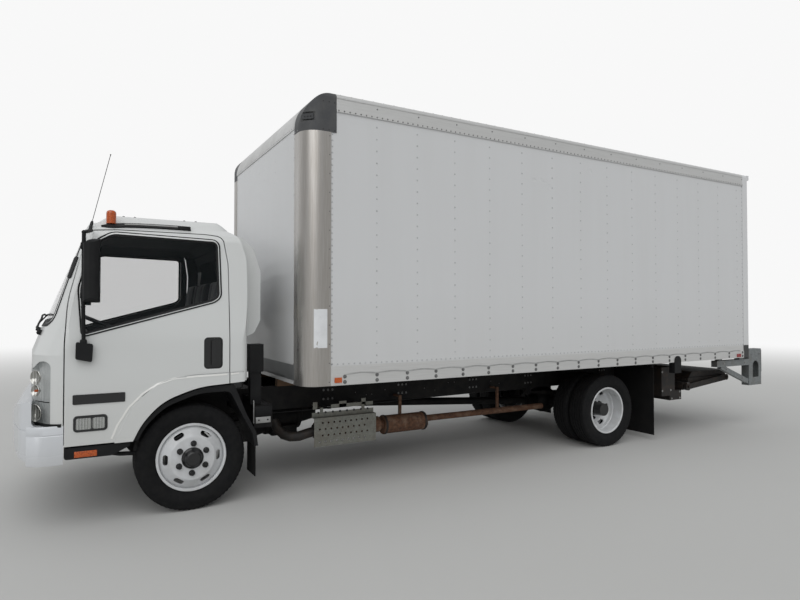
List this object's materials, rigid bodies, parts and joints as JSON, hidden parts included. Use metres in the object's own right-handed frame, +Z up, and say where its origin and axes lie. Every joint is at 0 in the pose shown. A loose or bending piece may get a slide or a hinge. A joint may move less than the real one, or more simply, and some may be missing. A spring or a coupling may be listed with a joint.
{
  "type": "box truck",
  "caption": "Cab-over box truck with opening cab doors, steered front wheels, dual rear wheels, van body and a folded liftgate that lowers.",
  "frame": {"origin": "on the ground under the middle of the overall box", "axes": "-Y towards the front of the truck, +X towards its left side, +Z up"},
  "size_m": [2.456, 8.614, 3.3379],
  "materials": {
    "chassis": "satin black chassis paint",
    "cab_paint": "gloss white paint",
    "bumper_paint": "gloss white paint",
    "glass": "clear glass",
    "lamp_clear": "clear lamp lens",
    "lamp_colour": "amber and red lamp lens",
    "black_plastic": "grained black plastic",
    "cap_plastic": "dark grey cast cap",
    "dash_plastic": "dark grey plastic",
    "seat_cloth": "dark woven cloth",
    "rubber": "black rubber",
    "tyre": "black tyre rubber",
    "wheel_paint": "white painted steel",
    "cast": "dark cast iron",
    "body_panel": "white panel skin",
    "body_roof": "roof sheet",
    "mill_aluminium": "mill finish",
    "frame_paint": "white paint",
    "wood_floor": "hardwood deck",
    "exhaust_steel": "rusty steel",
    "galvanised": "dull galvanised steel",
    "lift_paint": "dark brown-black paint"
  },
  "bodies": {
    "truck": {"chassis_rails": "chassis", "cross_members": "chassis", "leaf_springs": "chassis", "front_axle": "chassis", "rear_axle": "chassis", "engine_block": "chassis", "cab_shell": "cab_paint", "cab_glass": "glass", "headlamps": "lamp_clear", "front_grille": "black_plastic", "front_bumper": "bumper_paint", "cab_seats": "seat_cloth", "dashboard": "dash_plastic", "front_wings": "black_plastic", "door_steps": "black_plastic", "mud_flaps": "rubber", "front_wall": "body_panel", "side_walls": "body_panel", "body_roof": "body_roof", "body_rails": "mill_aluminium", "corner_posts": "mill_aluminium", "corner_caps": "cap_plastic", "body_floor": "wood_floor", "rear_frame": "frame_paint", "roll_up_door": "body_panel", "exhaust": "exhaust_steel", "heat_shield": "galvanised", "chassis_boxes": "chassis", "air_intake": "black_plastic", "liftgate_frame": "lift_paint", "step_blocks": "galvanised", "step_rubbers": "rubber", "side_lamps": "lamp_colour"},
    "left_knuckle": {"left_knuckle": "cast"},
    "right_knuckle": {"right_knuckle": "cast"},
    "left_front_wheel_set": {"left_front_tyre": "tyre", "left_front_wheel": "wheel_paint"},
    "right_front_wheel_set": {"right_front_tyre": "tyre", "right_front_wheel": "wheel_paint"},
    "left_rear_wheel_set": {"left_rear_tyres": "tyre", "left_rear_wheels": "wheel_paint"},
    "right_rear_wheel_set": {"right_rear_tyres": "tyre", "right_rear_wheels": "wheel_paint"},
    "left_door_body": {"left_door": "cab_paint", "left_door_glass": "glass", "left_mirror": "black_plastic"},
    "right_door_body": {"right_door": "cab_paint", "right_door_glass": "glass", "right_mirror": "black_plastic"},
    "lift_arms": {"liftgate_arms": "lift_paint"},
    "lift_platform": {"liftgate_platform": "lift_paint"}
  },
  "joints": [
    {"name": "left_steer", "type": "hinge", "parent": "truck", "child": "left_knuckle", "pos_m": [0.74, -3.098, 0.4055], "axis": [0, 0, 1], "range_deg": [-40, 40]},
    {"name": "right_steer", "type": "hinge", "parent": "truck", "child": "right_knuckle", "pos_m": [-0.74, -3.098, 0.4055], "axis": [0, 0, 1], "range_deg": [-40, 40]},
    {"name": "left_front_spin", "type": "hinge", "parent": "left_knuckle", "child": "left_front_wheel_set", "pos_m": [0.832, -3.098, 0.4055], "axis": [1, 0, 0], "continuous": true},
    {"name": "right_front_spin", "type": "hinge", "parent": "right_knuckle", "child": "right_front_wheel_set", "pos_m": [-0.832, -3.098, 0.4055], "axis": [1, 0, 0], "continuous": true},
    {"name": "left_rear_spin", "type": "hinge", "parent": "truck", "child": "left_rear_wheel_set", "pos_m": [0.8245, 1.377, 0.4055], "axis": [1, 0, 0], "continuous": true},
    {"name": "right_rear_spin", "type": "hinge", "parent": "truck", "child": "right_rear_wheel_set", "pos_m": [-0.8245, 1.377, 0.4055], "axis": [1, 0, 0], "continuous": true},
    {"name": "left_door_hinge", "type": "hinge", "parent": "truck", "child": "left_door_body", "pos_m": [1.022, -3.955, 1.4], "axis": [0, 0, -1], "range_deg": [0, 70]},
    {"name": "right_door_hinge", "type": "hinge", "parent": "truck", "child": "right_door_body", "pos_m": [-1.022, -3.955, 1.4], "axis": [0, 0, 1], "range_deg": [0, 70]},
    {"name": "lift_lower", "type": "hinge", "parent": "truck", "child": "lift_arms", "pos_m": [0, 2.977, 0.56], "axis": [-1, 0, 0], "range_deg": [0, 41]},
    {"name": "platform_level", "type": "hinge", "parent": "lift_arms", "child": "lift_platform", "pos_m": [0, 3.802, 0.64], "axis": [-1, 0, 0], "range_deg": [-41, 0]}
  ],
  "couplings": [
    {"joint": "right_steer", "follows": "left_steer", "ratio": 1},
    {"joint": "platform_level", "follows": "lift_lower", "ratio": -1}
  ]
}
